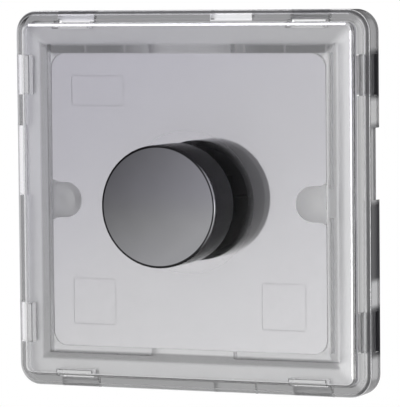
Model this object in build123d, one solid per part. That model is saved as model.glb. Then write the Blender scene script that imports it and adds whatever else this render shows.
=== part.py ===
from build123d import *
import os
from math import asin, cos, degrees, radians, sin, sqrt

# Push-and-turn rotary dimmer on a clear, screwless single-gang wall plate.
# Every piece is drawn as the switch is seen on its wall: x to the right, y up the wall
# and z out of the wall, with z = 0 on the wall face. STAND_UP then turns the whole
# switch so that +Z is up and the knob points along -Y. All sizes are in millimetres.

# Clear frame and front panel
plate_side = 86.0
plate_corner = 5.0
frame_depth = 6.8
frame_wall = 2.2
deck_thickness = 2.0
rim_width = 2.75
rim_chamfer = 1.0
panel_thickness = 2.5
panel_corner = 2.0
panel_chamfer = 0.7
panel_hole_room = 0.8
seat_gap = 0.05

# Metal insert plate let into the frame
insert_border = 9.7
insert_thickness = 1.2
insert_corner = 3.3
insert_play = 0.15
notch_flare = 1.5
pocket_rib = 2.0
pocket_rib_gap = 20.0
pad_depth = 0.2
wide_pad = (12.8, 6.8)
square_pad = (10.4, 10.4)
pad_margin = 5.0

# Fixing lugs, at the standard centres of a single wall box
fixing_centres = 60.3
fixing_hole = 4.0
fixing_head_room = 7.8
lug_wall = 2.6

# Snap hooks of the front panel and the notches of the frame that they catch in
hook_offset = 28.5
hook_width = 8.6
hook_thickness = 1.0
hook_inset = 0.05
hook_catch = 0.9
hook_reach = 5.3
hook_tip = 0.6
hook_play = 0.25
notch_floor = 0.8
notch_roof = 3.0
snap_gap = 0.1
pry_offset = 9.5
pry_width = 10.0
pry_depth = 2.3
side_pry_offset = 8.8
side_pry_width = 16.0

# Knob and spindle
knob_diameter = 27.2
knob_length = 11.55
knob_gap = 4.35
knob_chamfer = 0.45
cap_wall = 1.3
cap_face = 1.5
core_web = 1.6
core_hub = 10.4
core_rib = 1.6
core_recess = 0.45
fit_gap = 0.05
spindle_diameter = 6.0
spindle_flat = 1.5
spindle_end_gap = 0.25
clip_thickness = 0.4
clip_width = 3.6
clip_length = 7.0
clip_lip = 1.6

# Bush, nut and washer
bush_diameter = 10.0
bush_flange = 14.0
bush_flange_thickness = 1.6
bush_stub = 1.0
bush_hole_play = 0.15
running_gap = 0.03
nut_flats = 14.0
nut_thickness = 2.6
washer_diameter = 15.0
washer_thickness = 0.6
washer_tooth = 0.9
washer_tooth_count = 14

# Rotary control
turn_range = 270.0
control_share = 0.4
control_depth = 7.4
control_front = 1.5
control_wall = 1.6
track_hub_gap = 0.7
track_thickness = 0.8
track_gap = 50.0
rotor_hub = 8.0
arm_run = 0.6
arm_width = 5.0
arm_thickness = 1.4
arm_drop = 2.3
rotor_end_gap = 0.3
rotor_run = 0.2
stop_reach = 2.6
stop_slack = 2.0
wiper_thickness = 0.35
wiper_inset = 0.55
wiper_run = 0.1
wiper_slit = 0.6
wiper_clear = 0.1

# Push switch
push_travel = 2.0
switch_side = 14.0
switch_corner = 1.5
switch_depth = 10.4
switch_wall = 1.5
switch_floor = 1.2
plunger_diameter = 7.0
plunger_flange = 9.6
plunger_flange_thickness = 1.3
plunger_tail = 3.6
plunger_tail_length = 4.2
plunger_gap = 0.2
bridge_length = 9.8
bridge_width = 6.0
bridge_thickness = 0.55
contact_width = 2.4
contact_thickness = 1.2
contact_inset = 0.3
spring_wire = 0.7
spring_diameter = 6.4
spring_turns = 4
spring_runs = 12
spring_seat = 0.05

# Module housing, cover and screws
housing_side = 50.0
housing_depth = 26.0
housing_wall = 1.6
housing_corner = 3.0
housing_play = 0.3
column_side = 7.2
rest_width = 6.0
rest_depth = 1.8
cover_thickness = 1.8
cover_lip = 1.2
cover_lip_wall = 1.0
cover_play = 0.15
screw_shank = 2.0
screw_length = 9.0
screw_head = 4.8
screw_head_height = 1.5
screw_play = 0.3

# Circuit board and what it carries
board_thickness = 1.6
board_play = 0.3
transistor_width = 10.0
transistor_body = 9.2
transistor_tab = 6.4
transistor_tab_thickness = 1.3
transistor_thickness = 4.4
transistor_gap = 1.2
lead_width = 0.8
lead_pitch = 2.54
lead_reach = 1.6
window_play = 0.3
core_wall = 3.2
core_height = 6.0
wire_size = 0.9
winding_turns = 13
winding_gap = 0.05
choke_gap = 0.25
capacitor_size = (16.0, 6.0, 11.0)
capacitor_corner = 1.0
capacitor_wall_gap = 5.4
fuse_size = (4.0, 8.4, 7.6)
fuse_corner = 0.6
fuse_wall_gap = 8.4
terminal_pitch = 9.0
terminal_count = 3
terminal_width = 6.4
terminal_height = 7.6
terminal_length = 9.0
terminal_wall = 1.2
terminal_bottom_gap = 2.6
terminal_cover_gap = 0.5
terminal_pin = 1.2
wire_hole = 3.8
wire_depth = 7.0
clamp_screw = 3.6
clamp_screw_stand = 1.8
access_play = 0.4

# Cuts run this far past the faces that they open
overcut = 1.0

# Sizes across the plate that follow from those above
plate_half = plate_side / 2
panel_side = plate_side - 2 * rim_width
panel_half = panel_side / 2
insert_side = plate_side - 2 * insert_border
insert_half = insert_side / 2
pocket_half = insert_half + insert_play
wall_inside = plate_half - frame_wall
hook_outside = panel_half - hook_inset
hook_inside = hook_outside - hook_thickness
notch_width = hook_width + 2 * hook_play
housing_half = housing_side / 2
housing_inside = housing_half - housing_wall
column_half = column_side / 2
column_place = housing_inside - column_half
knob_radius = knob_diameter / 2
spindle_radius = spindle_diameter / 2
bush_radius = bush_diameter / 2
bush_hole = bush_radius + bush_hole_play
nut_corners = nut_flats / 2 / cos(radians(30))
panel_hole = max(nut_corners, washer_diameter / 2) + panel_hole_room
rotor_hub_radius = rotor_hub / 2
control_side = control_share * housing_side
control_bore_radius = control_side / 2 - control_wall
track_width = control_bore_radius - rotor_run - rotor_hub_radius - track_hub_gap
track_middle = control_bore_radius - rotor_run - track_width / 2
wiper_width = track_width - 2 * wiper_inset
wiper_half = sqrt((control_bore_radius - wiper_run) ** 2 - (track_middle + wiper_width / 2) ** 2)
arm_length = control_bore_radius - arm_run
choke_margin = choke_gap + wire_size + winding_gap
core_outer = housing_inside - switch_side / 2 - 2 * choke_margin
core_inner = core_outer - 2 * core_wall

# Heights out of the wall, from the front panel back to the cover
panel_back = frame_depth + seat_gap
panel_front = panel_back + panel_thickness
insert_back = frame_depth - insert_thickness
deck_front = insert_back - seat_gap
deck_back = deck_front - deck_thickness
washer_front = frame_depth + washer_thickness
nut_front = washer_front + nut_thickness
bush_front = nut_front + bush_stub
knob_back = panel_front + knob_gap
knob_front = knob_back + knob_length
cap_inside = knob_front - cap_face
core_front = cap_inside - fit_gap
core_back = knob_back + core_recess
spindle_front = core_front - core_web - spindle_end_gap
housing_front = insert_back
housing_inner_front = housing_front - housing_wall
housing_back = housing_front - housing_depth
flange_back = housing_inner_front - bush_flange_thickness
board_front = flange_back - control_depth
board_back = board_front - board_thickness
control_inner_front = flange_back - control_front
track_back = control_inner_front - track_thickness
rotor_front = flange_back - rotor_end_gap
rotor_back = board_front + rotor_end_gap
arm_front = control_inner_front - arm_drop
arm_back = arm_front - arm_thickness
plunger_flange_front = board_back - plunger_gap
plunger_flange_back = plunger_flange_front - plunger_flange_thickness
spindle_back = board_front - board_thickness / 2
plunger_front = spindle_back - plunger_gap
plunger_back = plunger_flange_back - plunger_tail_length
bridge_front = plunger_flange_back - fit_gap
bridge_back = bridge_front - bridge_thickness
contact_front = bridge_back - push_travel - plunger_gap
switch_back = board_back - switch_depth
switch_inner_back = switch_back + switch_floor
cover_back = housing_back - cover_thickness

STAND_UP = Plane(origin=(0, 0, 0), x_dir=(1, 0, 0), z_dir=(0, -1, 0)).location
SIDES = (0, 90, 180, 270)


def block(width, height, low, high, corner=0.0):
    """Upright block with rounded corners between two heights."""
    outline = RectangleRounded(width, height, corner) if corner else Rectangle(width, height)
    return Pos(0, 0, low) * extrude(outline, amount=high - low)


def rod(radius, low, high):
    """Upright round bar between two heights."""
    return Pos(0, 0, low) * extrude(Circle(radius), amount=high - low)


def tube(inner, outer, low, high):
    """Upright ring between two heights."""
    return Pos(0, 0, low) * extrude(Circle(outer) - Circle(inner), amount=high - low)


def d_outline(radius, flat):
    """Circle cut by a flat on its upper side."""
    beyond = Rectangle(4 * radius, 2 * radius, align=(Align.CENTER, Align.MIN))
    return Circle(radius) - Pos(0, flat) * beyond


def sector(radius, middle, half_angle):
    """Pie slice about the knob's axis, wide enough to cut a ring of that radius."""
    reach = 2 * radius
    corners = [
        (0, 0),
        (reach * cos(radians(middle - half_angle)), reach * sin(radians(middle - half_angle))),
        (reach * cos(radians(middle)), reach * sin(radians(middle))),
        (reach * cos(radians(middle + half_angle)), reach * sin(radians(middle + half_angle))),
    ]
    return make_face(Polyline(*corners, close=True))


def around_sides(shape):
    """The same shape at the four sides of the plate."""
    return [Rot(0, 0, angle) * shape for angle in SIDES]


def fixing_places():
    """Centres of the two fixing lugs."""
    return Pos(-fixing_centres / 2, 0), Pos(fixing_centres / 2, 0)


def column_places():
    """Centres of the two screw columns of the module, in opposite corners."""
    return Pos(-column_place, column_place), Pos(column_place, -column_place)


def terminal_places():
    """Distances of the terminals from the middle, along x."""
    first = -terminal_pitch * (terminal_count - 1) / 2
    return [first + terminal_pitch * index for index in range(terminal_count)]


def group(pieces):
    """Several like solids in one node."""
    return Compound([solid for piece in pieces for solid in piece.solids()])


# Clear frame and front panel

def mounting_frame():
    """Clear frame: rim, deck with the insert's pocket, ribs, lugs, slots and notches."""
    body = block(plate_side, plate_side, 0, frame_depth, plate_corner)
    body = chamfer(body.faces().sort_by(Axis.Z)[-1].edges(), rim_chamfer)
    inner_corner = max(plate_corner - frame_wall, overcut)
    body -= block(2 * wall_inside, 2 * wall_inside, -overcut, deck_back, inner_corner)

    rib_side = 2 * (pocket_half + pocket_rib)
    rib = block(rib_side, rib_side, 0, deck_back)
    rib -= block(2 * pocket_half, 2 * pocket_half, -overcut, deck_back)
    rib -= block(pocket_rib_gap, 2 * plate_side, -overcut, deck_back)
    body += rib
    for place in fixing_places():
        body += place * rod(fixing_hole / 2 + lug_wall, 0, deck_back)

    body -= block(2 * pocket_half, 2 * pocket_half, deck_front, frame_depth + overcut, insert_corner)
    opening = housing_side + 2 * housing_play
    body -= block(opening, opening, -overcut, frame_depth)
    for place in fixing_places():
        body -= place * rod(fixing_hole / 2, -overcut, frame_depth)
    for cut in around_sides(hook_slots() + hook_notches()) + pry_notches():
        body -= cut
    return body


def hook_slots():
    """Slots through the deck for the hooks of one side, the upper one."""
    depth = wall_inside - hook_inside + hook_play
    slot = block(notch_width, depth, deck_back - overcut, frame_depth + overcut)
    height = wall_inside - depth / 2
    return Pos(-hook_offset, height) * slot + Pos(hook_offset, height) * slot


def hook_notches():
    """Windows in the upper wall that two hooks catch in."""
    depth = frame_wall + overcut
    height = wall_inside + depth / 2
    catch = block(notch_width, depth, notch_floor, notch_roof)
    return Pos(-hook_offset, height) * catch + Pos(hook_offset, height) * catch


def pry_notches():
    """Notches to lever the panel off, one in each wall, those of the side walls a mirrored pair."""
    depth = frame_wall + overcut
    reach = wall_inside + depth / 2
    end = block(pry_width, depth, -overcut, pry_depth)
    side = block(depth, side_pry_width, -overcut, pry_depth)
    ends = [Pos(pry_offset, place) * end for place in (-reach, reach)]
    return ends + [Pos(place, side_pry_offset) * side for place in (-reach, reach)]


def snap_hook():
    """One hook behind the upper edge of the panel, drawn in section and drawn out sideways."""
    tip = wall_inside + hook_catch
    catch_height = notch_roof - snap_gap
    foot = panel_back - hook_reach
    section = Polyline(
        (hook_inside, panel_back),
        (hook_outside, panel_back),
        (hook_outside, catch_height),
        (tip, catch_height),
        (tip, catch_height - hook_tip),
        (hook_outside, foot),
        (hook_inside, foot),
        close=True,
    )
    face = Plane(origin=(0, 0, 0), x_dir=(0, 1, 0), z_dir=(1, 0, 0)) * make_face(section)
    return extrude(face, amount=hook_width / 2, both=True)


def front_plate():
    """Clear front panel with a chamfered edge, the hole for the bush and eight snap hooks."""
    body = block(panel_side, panel_side, panel_back, panel_front, panel_corner)
    body = chamfer(body.faces().sort_by(Axis.Z)[-1].edges(), panel_chamfer)
    body -= rod(panel_hole, panel_back - overcut, panel_front + overcut)
    for offset in (-hook_offset, hook_offset):
        for hook in around_sides(Pos(offset, 0) * snap_hook()):
            body += hook
    return body


def lug_notch():
    """Outline of the notch at the right lug: a round end and a mouth with rounded corners."""
    head = fixing_head_room / 2
    edge = insert_half - fixing_centres / 2
    outline = Circle(head) + Pos((edge + overcut) / 2, 0) * Rectangle(edge + overcut, 2 * head)
    width = notch_flare + overcut
    flare = Pos(edge - notch_flare + width / 2, 0) * Rectangle(width, 2 * (head + notch_flare))
    for side in (-1, 1):
        flare -= Pos(edge - notch_flare, side * (head + notch_flare)) * Circle(notch_flare)
    return outline + flare


def insert_plate():
    """Metal plate with a notch at each lug, the bush hole and three bare pressed pads."""
    body = block(insert_side, insert_side, insert_back, frame_depth, insert_corner)
    through = insert_thickness + 2 * overcut
    notch = Pos(fixing_centres / 2, 0, insert_back - overcut) * extrude(lug_notch(), amount=through)
    body -= notch
    body -= Rot(0, 0, 180) * notch
    body -= rod(bush_hole, insert_back - overcut, frame_depth + overcut)

    pad_floor = frame_depth - pad_depth
    wide_x = insert_half - pad_margin - wide_pad[0] / 2
    wide_y = insert_half - pad_margin - wide_pad[1] / 2
    square_x = insert_half - pad_margin - square_pad[0] / 2
    square_y = insert_half - pad_margin - square_pad[1] / 2
    body -= Pos(-wide_x, wide_y) * block(*wide_pad, pad_floor, frame_depth + overcut)
    for side in (-1, 1):
        body -= Pos(side * square_x, -square_y) * block(*square_pad, pad_floor, frame_depth + overcut)
    return body


# Bush, nut and washer

def control_bush():
    """Bush with a square flange behind the housing and a bore for the spindle."""
    body = block(bush_flange, bush_flange, flange_back, housing_inner_front)
    body += rod(bush_radius, housing_inner_front, bush_front)
    return body - rod(spindle_radius + running_gap, flange_back - overcut, bush_front + overcut)


def lock_washer():
    """Washer with pointed teeth round its edge."""
    tip = washer_diameter / 2
    half_step = 180 / washer_tooth_count
    corners = []
    for index in range(2 * washer_tooth_count):
        reach = tip if index % 2 else tip - washer_tooth
        angle = radians(index * half_step)
        corners.append((reach * cos(angle), reach * sin(angle)))
    outline = make_face(Polyline(*corners, close=True)) - Circle(bush_radius + fit_gap)
    return Pos(0, 0, frame_depth) * extrude(outline, amount=washer_thickness)


def bush_nut():
    """Hexagon nut on the bush."""
    hexagon = RegularPolygon(nut_flats / 2, 6, major_radius=False) - Circle(bush_radius + fit_gap)
    return Pos(0, 0, washer_front) * extrude(hexagon, amount=nut_thickness)


# Knob and spindle

def knob_cap():
    """Turned cap, open behind, with a fine chamfer round its face."""
    body = rod(knob_radius, knob_back, knob_front)
    body = chamfer(body.faces().sort_by(Axis.Z)[-1].edges(), knob_chamfer)
    return body - rod(knob_radius - cap_wall, knob_back - overcut, cap_inside)


def knob_core():
    """Moulded hub inside the cap: a web, a square hub, four ribs and a D bore for the spindle."""
    outside = knob_radius - cap_wall - fit_gap
    web = core_front - core_web
    body = rod(outside, web, core_front)
    body += block(core_hub, core_hub, core_back, web)
    ribs = Rectangle(2 * outside, core_rib) + Rectangle(core_rib, 2 * outside)
    body += Pos(0, 0, core_back) * extrude(ribs & Circle(outside), amount=web - core_back)
    bore = d_outline(spindle_radius + running_gap, spindle_flat + clip_thickness + 2 * fit_gap)
    return body - Pos(0, 0, core_back - overcut) * extrude(bore, amount=web - core_back + overcut)


def knob_clip():
    """Leaf between the flat of the spindle and the hub, hooked over the back of the hub."""
    low = spindle_flat + fit_gap
    leaf = Pos(0, low + clip_thickness / 2) * block(
        clip_width, clip_thickness, core_back - clip_thickness, core_back + clip_length
    )
    lip = Pos(0, low + clip_lip / 2) * block(clip_width, clip_lip, core_back - clip_thickness, core_back)
    return leaf + lip


def flat_cut(low, high):
    """Cut that leaves a flat on the upper side of the spindle between two heights."""
    side = 4 * spindle_radius
    return Pos(0, spindle_flat + side / 2) * block(side, side, low, high)


def spindle():
    """Spindle with a flat for the knob in front and one for the rotor behind."""
    body = rod(spindle_radius, spindle_back, spindle_front)
    body -= flat_cut(spindle_back - overcut, rotor_front + push_travel + rotor_end_gap)
    return body - flat_cut(bush_front + push_travel / 2, spindle_front + overcut)


# Rotary control

def stop_block():
    """Fixed stop that the arm of the rotor meets at either end of its turn."""
    inside = control_bore_radius - stop_reach
    arm_angle = degrees(asin(arm_width / 2 / inside))
    half_angle = 180 - turn_range / 2 - arm_angle - stop_slack
    ring = Circle(control_bore_radius + overcut / 2) - Circle(inside)
    wedge = ring & sector(control_bore_radius, -90, half_angle)
    return Pos(0, 0, board_front) * extrude(wedge, amount=arm_front - board_front)


def control_body():
    """Cup of the rotary control, open towards the board, with the stop of the rotor."""
    body = block(control_side, control_side, board_front, flange_back)
    body -= rod(control_bore_radius, board_front - overcut, control_inner_front)
    body -= rod(rotor_hub_radius + fit_gap, control_inner_front - overcut, flange_back + overcut)
    return body + stop_block()


def resistive_track():
    """Horseshoe track behind the front wall of the control."""
    outside = control_bore_radius - rotor_run
    ring = Circle(outside) - Circle(outside - track_width) - sector(outside, -90, track_gap / 2)
    return Pos(0, 0, track_back) * extrude(ring, amount=track_thickness)


def wiper_rotor():
    """Rotor that turns with the spindle and lets it slide through, with an arm for the wiper."""
    body = rod(rotor_hub_radius, rotor_back, rotor_front)
    body += Pos(0, arm_length / 2) * block(arm_width, arm_length, arm_back, arm_front)
    bore = d_outline(spindle_radius + running_gap, spindle_flat + running_gap)
    through = rotor_front - rotor_back + 2 * overcut
    return body - Pos(0, 0, rotor_back - overcut) * extrude(bore, amount=through)


def wiper_contact():
    """Sprung leaf on the rotor, split into two fingers that rise to the track."""
    rise = track_back - wiper_clear
    leaf = Polyline(
        (-wiper_half, arm_front),
        (0, arm_front),
        (wiper_half - wiper_thickness, rise - wiper_thickness),
        (wiper_half, rise - wiper_thickness),
        (wiper_half, rise),
        (wiper_half - 2 * wiper_thickness, rise),
        (0, arm_front + wiper_thickness),
        (-wiper_half, arm_front + wiper_thickness),
        close=True,
    )
    face = Plane(origin=(0, track_middle, 0), x_dir=(1, 0, 0), z_dir=(0, -1, 0)) * make_face(leaf)
    body = extrude(face, amount=wiper_width / 2, both=True)
    slit = block(wiper_half, wiper_slit, arm_front - overcut, rise + overcut)
    return body - Pos(wiper_half / 2 + wiper_slit, track_middle) * slit


# Push switch

def switch_body():
    """Cup of the push switch, closed by the back of the board."""
    body = block(switch_side, switch_side, switch_back, board_back, switch_corner)
    inside = switch_side - 2 * switch_wall
    return body - block(inside, inside, switch_inner_back, board_back + overcut)


def switch_plunger():
    """Plunger guided by the hole of the board, with a tail for the spring."""
    body = rod(plunger_diameter / 2, plunger_flange_front, plunger_front)
    body += block(plunger_flange, plunger_flange, plunger_flange_back, plunger_flange_front)
    return body + block(plunger_tail, plunger_tail, plunger_back, plunger_flange_back)


def contact_bridge():
    """Bridge contact that rides under the flange of the plunger."""
    body = block(bridge_length, bridge_width, bridge_back, bridge_front)
    hole = plunger_tail + 2 * fit_gap
    return body - block(hole, hole, bridge_back - overcut, bridge_front + overcut)


def switch_contacts():
    """Two fixed posts that the bridge meets at the end of its travel."""
    place = switch_side / 2 - switch_wall - contact_inset - contact_thickness / 2
    post = block(contact_thickness, contact_width, switch_inner_back, contact_front)
    return group(Pos(side * place, 0) * post for side in (-1, 1))


def switch_spring():
    """Return spring between the bridge and the floor of the switch, in short straight runs."""
    low = switch_inner_back + spring_wire / 2 + spring_seat
    high = bridge_back - spring_wire / 2 - spring_seat
    count = spring_turns * spring_runs
    corners = []
    for index in range(count + 1):
        angle = radians(360 * index / spring_runs)
        height = low + (high - low) * index / count
        corners.append((spring_diameter / 2 * cos(angle), spring_diameter / 2 * sin(angle), height))
    path = Polyline(*corners)
    wire = Plane(origin=path @ 0, z_dir=path % 0) * Rectangle(spring_wire, spring_wire)
    return sweep(wire, path=path, transition=Transition.RIGHT)


# Circuit board and what it carries

def circuit_board():
    """Board with cleared corners for the columns and a hole that guides the plunger."""
    side = 2 * (housing_inside - board_play)
    body = block(side, side, board_back, board_front)
    corner = column_side + 2 * board_play
    for place in column_places():
        body -= place * block(corner, corner, board_back - overcut, board_front + overcut)
    return body - rod(plunger_diameter / 2 + fit_gap, board_back - overcut, board_front + overcut)


def power_transistor():
    """One flat package: moulded body, bare tab and three bent leads."""
    front = insert_back
    body = block(transistor_width, transistor_body, front - transistor_thickness, front)
    tab_low = transistor_body / 2
    tab = block(transistor_width, transistor_tab, front - transistor_tab_thickness, front)
    body += Pos(0, tab_low + transistor_tab / 2) * tab
    lead_front = front - transistor_thickness / 2
    for index in (-1, 0, 1):
        reach = block(lead_width, lead_reach, lead_front - lead_width, lead_front)
        drop = block(lead_width, lead_width, board_front, lead_front)
        body += Pos(index * lead_pitch, -tab_low - lead_reach / 2) * reach
        body += Pos(index * lead_pitch, -tab_low - lead_reach + lead_width / 2) * drop
    return body


def transistor_places():
    """Places of the two packages, one each side of the control."""
    place = control_side / 2 + transistor_gap + transistor_width / 2
    return Pos(-place, 0), Pos(place, 0)


def power_transistors():
    """Both power transistors."""
    return group(place * power_transistor() for place in transistor_places())


def choke_place():
    """Middle of the choke, beside the switch."""
    return Pos(-housing_inside + choke_margin + core_outer / 2, 0)


def choke_core():
    """Ring core of the choke."""
    low = board_back - wire_size - winding_gap - core_height
    return choke_place() * tube(core_inner / 2, core_outer / 2, low, low + core_height)


def choke_winding():
    """Turns of wire round the ring, each a closed loop."""
    width = (core_outer - core_inner) / 2 + 2 * winding_gap
    height = core_height + 2 * winding_gap
    middle = board_back - wire_size - height / 2
    loop = Rectangle(width + 2 * wire_size, height + 2 * wire_size) - Rectangle(width, height)
    place = Plane(origin=((core_inner + core_outer) / 4, 0, middle), x_dir=(1, 0, 0), z_dir=(0, -1, 0))
    turn = extrude(place * loop, amount=wire_size / 2, both=True)
    return group(choke_place() * (spot * turn) for spot in PolarLocations(0, winding_turns))


def suppression_capacitor():
    """Boxed capacitor standing on the back of the board."""
    width, height, depth = capacitor_size
    body = block(width, height, board_back - depth, board_back)
    body = fillet(body.edges().filter_by(Axis.Z), capacitor_corner)
    return Pos(0, housing_inside - capacitor_wall_gap - height / 2) * body


def fuse():
    """Boxed miniature fuse standing beside the switch."""
    width, height, depth = fuse_size
    body = block(width, height, board_back - depth, board_back)
    body = fillet(body.edges().filter_by(Axis.Z), fuse_corner)
    return Pos(housing_inside - fuse_wall_gap - width / 2, 0) * body


def terminal_bottom():
    """Height up the wall of the lower face of the terminals."""
    return -housing_inside + terminal_bottom_gap


def wire_height():
    """Height up the wall of the wire holes."""
    return terminal_bottom() + terminal_height - terminal_wall - wire_hole / 2


def clamp_depth():
    """Depth of the clamp screws, halfway along the wire."""
    return housing_back + terminal_cover_gap + wire_depth / 2


def terminal_clamp():
    """Brass terminal: wire hole from behind, clamp screw hole from below, pin to the board."""
    low = housing_back + terminal_cover_gap
    high = low + terminal_length
    middle = terminal_bottom() + terminal_height / 2
    body = Pos(0, middle) * block(terminal_width, terminal_height, low, high)
    body += Pos(0, middle) * block(terminal_pin, terminal_pin, high, board_back)
    body -= Pos(0, wire_height()) * block(wire_hole, wire_hole, low - overcut, low + wire_depth)
    hole = rod(clamp_screw / 2 + fit_gap, -overcut, wire_height() - terminal_bottom())
    return body - Pos(0, terminal_bottom(), clamp_depth()) * (Rot(-90, 0, 0) * hole)


def clamp_screw_piece():
    """Headless screw of one terminal, pointing up the wall."""
    reach = wire_height() - wire_hole / 2 - terminal_bottom()
    body = rod(clamp_screw / 2, -clamp_screw_stand, reach)
    return Pos(0, terminal_bottom(), clamp_depth()) * (Rot(-90, 0, 0) * body)


def terminal_clamps():
    """All the terminals."""
    return group(Pos(x, 0) * terminal_clamp() for x in terminal_places())


def terminal_screws():
    """All the clamp screws."""
    return group(Pos(x, 0) * clamp_screw_piece() for x in terminal_places())


# Module housing, cover and screws

def module_housing():
    """Moulded tub, open behind: screw columns, board rests, windows and screw access."""
    body = block(housing_side, housing_side, housing_back, housing_front, housing_corner)
    inside = 2 * housing_inside
    body -= block(inside, inside, housing_back - overcut, housing_inner_front)
    for place in column_places():
        body += place * block(column_side, column_side, housing_back, housing_inner_front)
    outer = block(housing_side, housing_side, housing_back, housing_front, housing_corner)
    rest = block(rest_width, rest_depth, board_front, housing_inner_front)
    for place in GridLocations(housing_inside, 2 * housing_inside - rest_depth, 2, 2):
        body += place * rest
    body &= outer

    body -= rod(bush_hole, housing_inner_front - overcut, housing_front + overcut)
    window_low = -transistor_body / 2 - window_play
    window_high = transistor_body / 2 + transistor_tab + window_play
    window = block(
        transistor_width + 2 * window_play,
        window_high - window_low,
        housing_inner_front - overcut,
        housing_front + overcut,
    )
    for place in transistor_places():
        body -= place * (Pos(0, (window_low + window_high) / 2) * window)
    for place in column_places():
        body -= place * rod(screw_shank / 2 + fit_gap, housing_back - overcut, housing_back + screw_length)
    access_side = clamp_screw + 2 * access_play
    access = block(access_side, 2 * housing_wall + overcut, -access_side / 2, access_side / 2)
    for x in terminal_places():
        body -= Pos(x, -housing_half, clamp_depth()) * access
    return body


def module_cover():
    """Rear cover with a locating lip between the columns and a hole for each wire."""
    body = block(housing_side, housing_side, cover_back, housing_back, housing_corner)
    lip_length = 2 * (column_place - column_half - cover_play)
    lip_place = housing_inside - cover_play - cover_lip_wall / 2
    lip = Pos(0, lip_place) * block(lip_length, cover_lip_wall, housing_back, housing_back + cover_lip)
    for piece in around_sides(lip):
        body += piece
    for place in column_places():
        body -= place * rod(screw_shank / 2 + screw_play, cover_back - overcut, housing_back + overcut)
    for x in terminal_places():
        entry = block(wire_hole, wire_hole, cover_back - overcut, housing_back + overcut)
        body -= Pos(x, wire_height()) * entry
    return body


def housing_screw():
    """One screw through the cover into a column."""
    body = rod(screw_shank / 2, cover_back, housing_back + screw_length - screw_play)
    return body + rod(screw_head / 2, cover_back - screw_head_height, cover_back)


def housing_screws():
    """Both cover screws."""
    return group(place * housing_screw() for place in column_places())


PIECES = (
    mounting_frame,
    front_plate,
    insert_plate,
    control_bush,
    lock_washer,
    bush_nut,
    knob_cap,
    knob_core,
    knob_clip,
    spindle,
    control_body,
    resistive_track,
    wiper_rotor,
    wiper_contact,
    switch_body,
    switch_plunger,
    contact_bridge,
    switch_contacts,
    switch_spring,
    circuit_board,
    power_transistors,
    choke_core,
    choke_winding,
    suppression_capacitor,
    fuse,
    terminal_clamps,
    terminal_screws,
    module_housing,
    module_cover,
    housing_screws,
)

os.makedirs("parts", exist_ok=True)
for piece in PIECES:
    export_step(STAND_UP * piece(), f"parts/{piece.__name__}.step")
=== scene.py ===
"""Looks of a push-and-turn dimmer switch: clear plate, bright insert, black knob, module and studio."""

import logging
import math
from dataclasses import dataclass
from enum import Enum
from typing import Any, Callable, ClassVar, Optional, Union

import bmesh
import bpy
from mathutils import Matrix, Vector


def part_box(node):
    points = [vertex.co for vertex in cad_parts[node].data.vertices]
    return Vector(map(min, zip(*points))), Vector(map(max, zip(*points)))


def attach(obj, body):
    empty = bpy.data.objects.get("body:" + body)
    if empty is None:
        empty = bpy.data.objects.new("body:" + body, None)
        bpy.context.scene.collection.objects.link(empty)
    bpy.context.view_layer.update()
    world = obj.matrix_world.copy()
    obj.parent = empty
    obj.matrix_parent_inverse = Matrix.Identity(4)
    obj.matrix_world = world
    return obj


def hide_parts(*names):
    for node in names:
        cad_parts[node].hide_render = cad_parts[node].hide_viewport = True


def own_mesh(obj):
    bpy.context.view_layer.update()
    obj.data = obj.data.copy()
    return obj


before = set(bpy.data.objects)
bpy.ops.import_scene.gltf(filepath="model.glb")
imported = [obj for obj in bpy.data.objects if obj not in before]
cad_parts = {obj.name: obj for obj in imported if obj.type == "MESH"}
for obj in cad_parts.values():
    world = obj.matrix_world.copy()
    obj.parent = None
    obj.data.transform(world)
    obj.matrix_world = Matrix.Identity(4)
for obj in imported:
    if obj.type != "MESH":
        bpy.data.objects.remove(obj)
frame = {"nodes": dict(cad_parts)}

LOG = logging.getLogger("dimmer_switch")
MM = 0.001
MERGE = 0.002 * MM
CUT_TOLERANCE = 0.01 * MERGE
FACING = 0.99
SHARP = 30.0
AXIS = (0.0, 1.0, 0.0)
BLACK = (0.0, 0.0, 0.0, 1.0)
WHITE = (1.0, 1.0, 1.0, 1.0)
NOISE_ROUGHNESS = 0.55
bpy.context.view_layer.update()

Shape = bmesh.types.BMesh
Span = tuple[float, float]
Colour = tuple[float, float, float]
Feed = Union["Socket", float, tuple]
Tones = tuple[float, float, float, float]


class Body(Enum):
    """The moving bodies of the frame that pieces ride on."""

    BASE = "base"
    ROTOR = "rotor"
    KNOB = "knob"
    PLUNGER = "plunger"


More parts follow.
